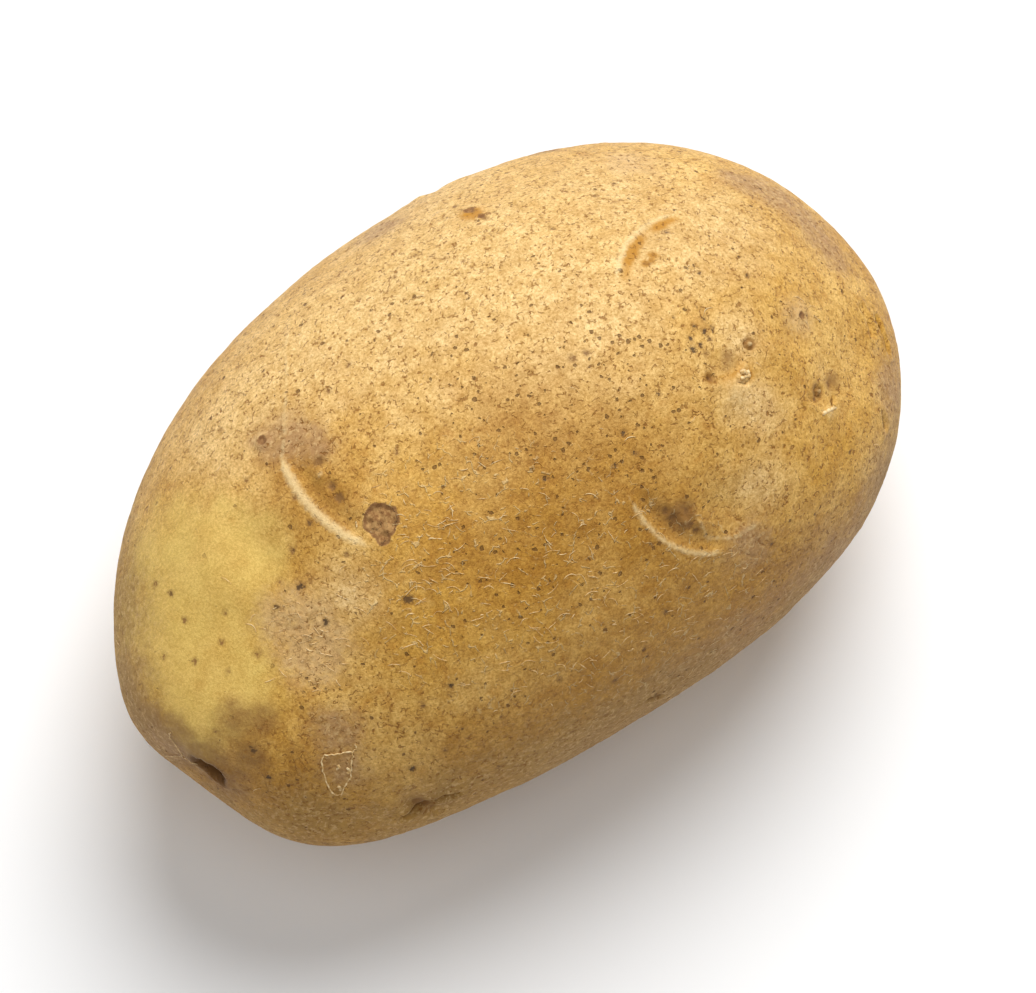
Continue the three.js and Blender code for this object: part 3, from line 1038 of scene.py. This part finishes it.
def addStrand(work, route, wide, thick, sides=6):
    # a closed strand along a route: each knot is (point, normal, share of the full width)
    rings = []
    for k, (point, normal, share) in enumerate(route[1:-1], start=1):
        along = route[k + 1][0] - route[k - 1][0]
        along = along / np.linalg.norm(along)
        aside = np.cross(normal, along)
        aside /= np.linalg.norm(aside)
        up = np.cross(along, aside)
        ring = []
        for j in range(sides):
            a = 2 * math.pi * j / sides
            corner = point + share * (wide / 2 * math.cos(a) * aside + thick / 2 * math.sin(a) * up)
            ring.append(work.verts.new(corner * mm))
        rings.append(ring)
    tips = [work.verts.new(route[end][0] * mm) for end in (0, -1)]
    for lower, upper in zip(rings, rings[1:]):
        for j in range(sides):
            k = (j + 1) % sides
            work.faces.new((lower[j], lower[k], upper[k], upper[j]))
    for j in range(sides):
        k = (j + 1) % sides
        work.faces.new((tips[0], rings[0][k], rings[0][j]))
        work.faces.new((tips[1], rings[-1][j], rings[-1][k]))


def finishPiece(name, work, material):
    bmesh.ops.recalc_face_normals(work, faces=work.faces)
    mesh = bpy.data.meshes.new(name)
    work.to_mesh(mesh)
    work.free()
    mesh.shade_smooth()
    mesh.materials.append(material)
    piece = bpy.data.objects.new(name, mesh)
    scene.collection.objects.link(piece)
    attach(piece, "root")
    print(name + ":", len(mesh.vertices), "points")
    return piece


# Loose slivers of skin: thin curled edges over the netted and flaky skin and here and there elsewhere.
# run is the way that most of them lie, and spread is how far they turn from it, in degrees.
slivers = {
    "onNet": 330,
    "onRough": 90,
    "elsewhere": 90,
    "length": (0.5, 1.8),
    "wide": (0.05, 0.10),
    "thick": 0.05,
    "lift": (0.01, 0.12),
    "bow": 0.30,
    "run": (0.805, -0.593, 0.0),
    "spread": 36,
    "stations": 9,
    "wobble": 0.014,
    "netSpread": 0.55, "roughSpread": 0.6,        # how far from a patch's middle, in its reach
    "lowest": 1.5,
}
flakeLook = {"light": (0.88, 0.68, 0.37), "dark": (0.62, 0.38, 0.13), "roughness": 0.55}


def makePlainLook(name, look):
    n = Nodes(name)
    tone = n.blend(n.step(n.grain(0.5, 3), 0.35, 0.65), look["dark"], look["light"])
    n.feed(n.shader.inputs["Base Color"], tone)
    n.shader.inputs["Roughness"].default_value = look["roughness"]
    n.shader.inputs["Specular IOR Level"].default_value = 0.3
    return n.material


def addSliver(work, centre, normal):
    look = slivers
    run = np.array(look["run"]) - normal * (normal @ np.array(look["run"]))
    run /= np.linalg.norm(run)
    turn = math.radians(rng.normal(0, look["spread"]))
    along = run * math.cos(turn) + np.cross(normal, run) * math.sin(turn)
    aside = np.cross(normal, along)
    length = rng.uniform(*look["length"]) ** 1.2
    wide = rng.uniform(*look["wide"])
    lift = rng.uniform(*look["lift"])
    bow = rng.uniform(-0.4, 1) * look["bow"] * length
    route = []
    for u in np.linspace(-1, 1, look["stations"]):
        wobble = rng.normal(0, look["wobble"])
        at = centre + along * u * length / 2 + aside * (bow * (1 - u * u) + wobble)
        point, up = snap(at, 0.02 + lift * (1 - u * u))
        route.append((point, up, math.sqrt(max(0.04, 1 - u * u))))
    addStrand(work, route, wide, look["thick"], 4)


def placeSliver(work, near):
    point, normal = snap(near, 0)
    if point[2] > slivers["lowest"]:
        addSliver(work, point, normal)


def scatterSlivers(work):
    for name, number, spread in (
        ("net", slivers["onNet"], slivers["netSpread"]),
        ("beige", slivers["onRough"], slivers["roughSpread"]),
    ):
        for _ in range(number):
            lon, lat, reach = covers[name][rng.integers(len(covers[name]))]
            placeSliver(work, spotOn(lon, lat)[0] + rng.normal(0, reach * spread, 3))
    for _ in range(slivers["elsewhere"]):
        way = rng.normal(0, 1, 3)
        way /= np.linalg.norm(way)
        lon, lat = math.degrees(math.atan2(way[1], way[0])), math.degrees(math.asin(way[2]))
        placeSliver(work, spotOn(lon, lat)[0])


# A shield-shaped scrap of skin that has come loose but for its middle, seen by its crinkled edge, its
# tail, and small flaps of skin beside the rose end's eyes, on the scrap and by the heel top scar. The
# fibres hang at the stolon's pit and on the front. Routes are places, wide, lift and wobble millimetres.
scrap = {
    "route": [
        (-153.7, 12.6), (-152.4, 12.9), (-151.3, 13.2), (-149.7, 13.5), (-149.2, 11.5), (-148.9, 9.3),
        (-149.5, 7.1), (-149.7, 6.0), (-150.8, 6.5), (-152.1, 8.5), (-153.4, 11.2), (-153.7, 12.6),
    ],
    "wide": 0.22, "lift": 0.05, "wobble": 0.1,
}
scrapTail = {
    "route": [(-149.7, 13.5), (-149.4, 14.3), (-149.7, 15.0)],
    "wide": 0.18, "lift": 0.05, "wobble": 0.08,
}
flaps = [
    {"route": [(-28.1, 39.1), (-28.5, 38.2), (-28.2, 37.3)], "wide": 0.7, "lift": 0.1, "wobble": 0.12},
    {"route": [(-29.9, 38.9), (-29.3, 38.1), (-29.0, 37.1)], "wide": 0.5, "lift": 0.1, "wobble": 0.1},
    {"route": [(-33.2, 20.6), (-32.1, 19.2), (-31.4, 17.8)], "wide": 0.5, "lift": 0.05, "wobble": 0.08},
    {
        "route": [(-149.9, 10.9), (-149.3, 10.5), (-149.5, 9.9)],
        "wide": 0.4, "lift": 0.05, "wobble": 0.08,
    },
    {"route": [(-150.3, 7.7), (-149.8, 7.3), (-149.9, 6.8)], "wide": 0.4, "lift": 0.05, "wobble": 0.08},
    {
        "route": [(-151.3, 11.3), (-150.9, 10.9), (-151.2, 10.4)],
        "wide": 0.3, "lift": 0.05, "wobble": 0.08,
    },
    {
        "route": [(-173.1, 48.7), (-172.4, 48.4), (-171.8, 48.0)],
        "wide": 0.3, "lift": 0.15, "wobble": 0.03,
    },
]
fibres = [
    {
        "route": [
            (-174.1, 6.6), (-173.9, 5.4), (-172.9, 4.8), (-171.9, 3.9), (-171.3, 2.4), (-169.6, 1.8),
        ],
        "wide": 0.2, "lift": 0.25, "wobble": 0.1,
    },
    {
        "route": [(-171.6, 3.0), (-172.6, 1.4), (-173.9, -0.8), (-174.6, -2.0)],
        "wide": 0.13, "lift": 0.2, "wobble": 0.08,
    },
    {"route": [(-95.6, 21.0), (-95.0, 20.4), (-94.0, 20.6)], "wide": 0.14, "lift": 0.1, "wobble": 0.05},
]
fibreLook = {"light": (0.78, 0.56, 0.28), "dark": (0.50, 0.32, 0.13), "roughness": 0.6}


def addThread(work, route, wide, lift, wobble):
    # a thread over the skin, eased through its places
    knots = [snap(spotOn(lon, lat)[0], lift)[0] for lon, lat in route]
    knots = [knots[0], *knots, knots[-1]]
    line = []
    for a, b, c, d in zip(knots, knots[1:], knots[2:], knots[3:]):
        for t in np.arange(0, 1, 0.2):
            curve = 2 * b + (c - a) * t + (2 * a - 5 * b + 4 * c - d) * t * t
            curve = curve + (3 * b - a - 3 * c + d) * t ** 3
            line.append(curve / 2 + rng.normal(0, wobble / 2, 3))
    line.append(knots[-1])
    strand = []
    for at in line:
        up = snap(at, 0)[1]
        strand.append((at, up, rng.uniform(0.55, 1.1)))        # thicker and thinner along its way
    addStrand(work, strand, wide, wide * 0.7)


def makeLooseSkin():
    work = bmesh.new()
    scatterSlivers(work)
    addThread(work, **scrap)
    addThread(work, **scrapTail)
    for flap in flaps:
        addThread(work, **flap)
    finishPiece("loose_skin", work, makePlainLook("loose skin", flakeLook))


def makeFibres():
    work = bmesh.new()
    for fibre in fibres:
        addThread(work, **fibre)
    finishPiece("root_fibres", work, makePlainLook("root fibre", fibreLook))


makeLooseSkin()
makeFibres()

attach(potato, "root")
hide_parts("potato")
